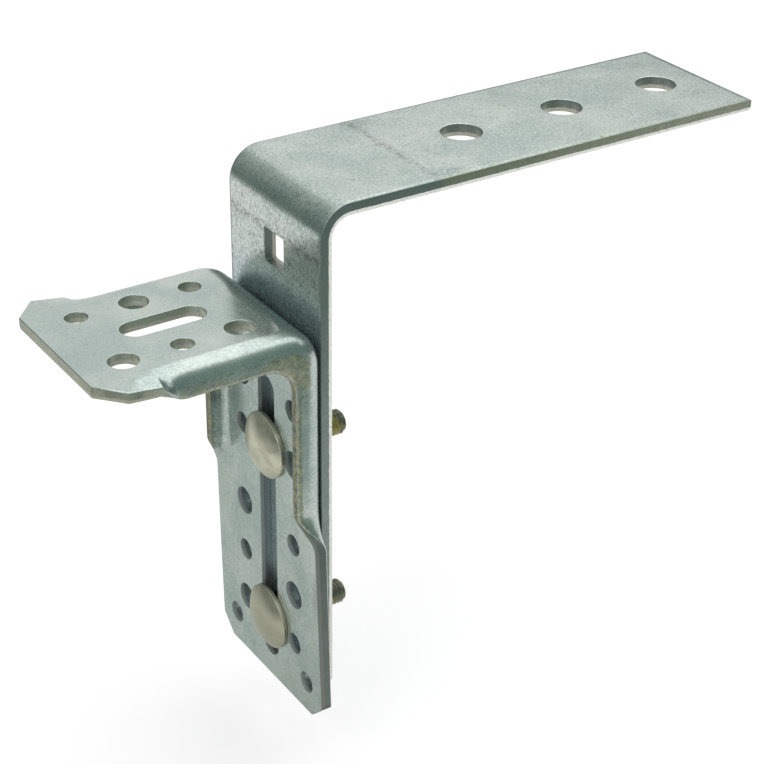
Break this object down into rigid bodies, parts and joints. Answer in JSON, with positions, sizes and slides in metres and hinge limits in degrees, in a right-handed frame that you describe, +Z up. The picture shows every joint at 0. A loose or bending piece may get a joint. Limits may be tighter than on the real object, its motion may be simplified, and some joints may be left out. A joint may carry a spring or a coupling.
{
  "type": "window frame bracket",
  "caption": "Adjustable galvanised steel bracket: a folded flat arm with fixing holes, and a lipped, slotted angle plate clamped to its leg by carriage bolts so that it slides up or down.",
  "frame": {"origin": "middle fixing hole of the arm, on the arm's top face", "axes": "+Z up, out of the arm's top face; +X along the arm to its free end; the angle's plate points to -X"},
  "size_m": [0.2235, 0.061, 0.171],
  "materials": {
    "strip_zinc": "matte galvanised strip, darker cut edges",
    "angle_zinc": "satin galvanised sheet, darker cut edges",
    "fastener_zinc": "dull zinc plating"
  },
  "bodies": {
    "strip_and_bolts": {"arm_strip": "strip_zinc", "carriage_bolt_upper": "fastener_zinc", "carriage_bolt_lower": "fastener_zinc", "washer_upper": "fastener_zinc", "washer_lower": "fastener_zinc", "hex_nut_upper": "fastener_zinc", "hex_nut_lower": "fastener_zinc"},
    "sliding_angle": {"frame_angle": "angle_zinc"}
  },
  "joints": [
    {"name": "height_slide", "type": "slide", "parent": "strip_and_bolts", "child": "sliding_angle", "axis": [0, 0, 1], "range_m": [-0.0168, 0.0078]}
  ]
}
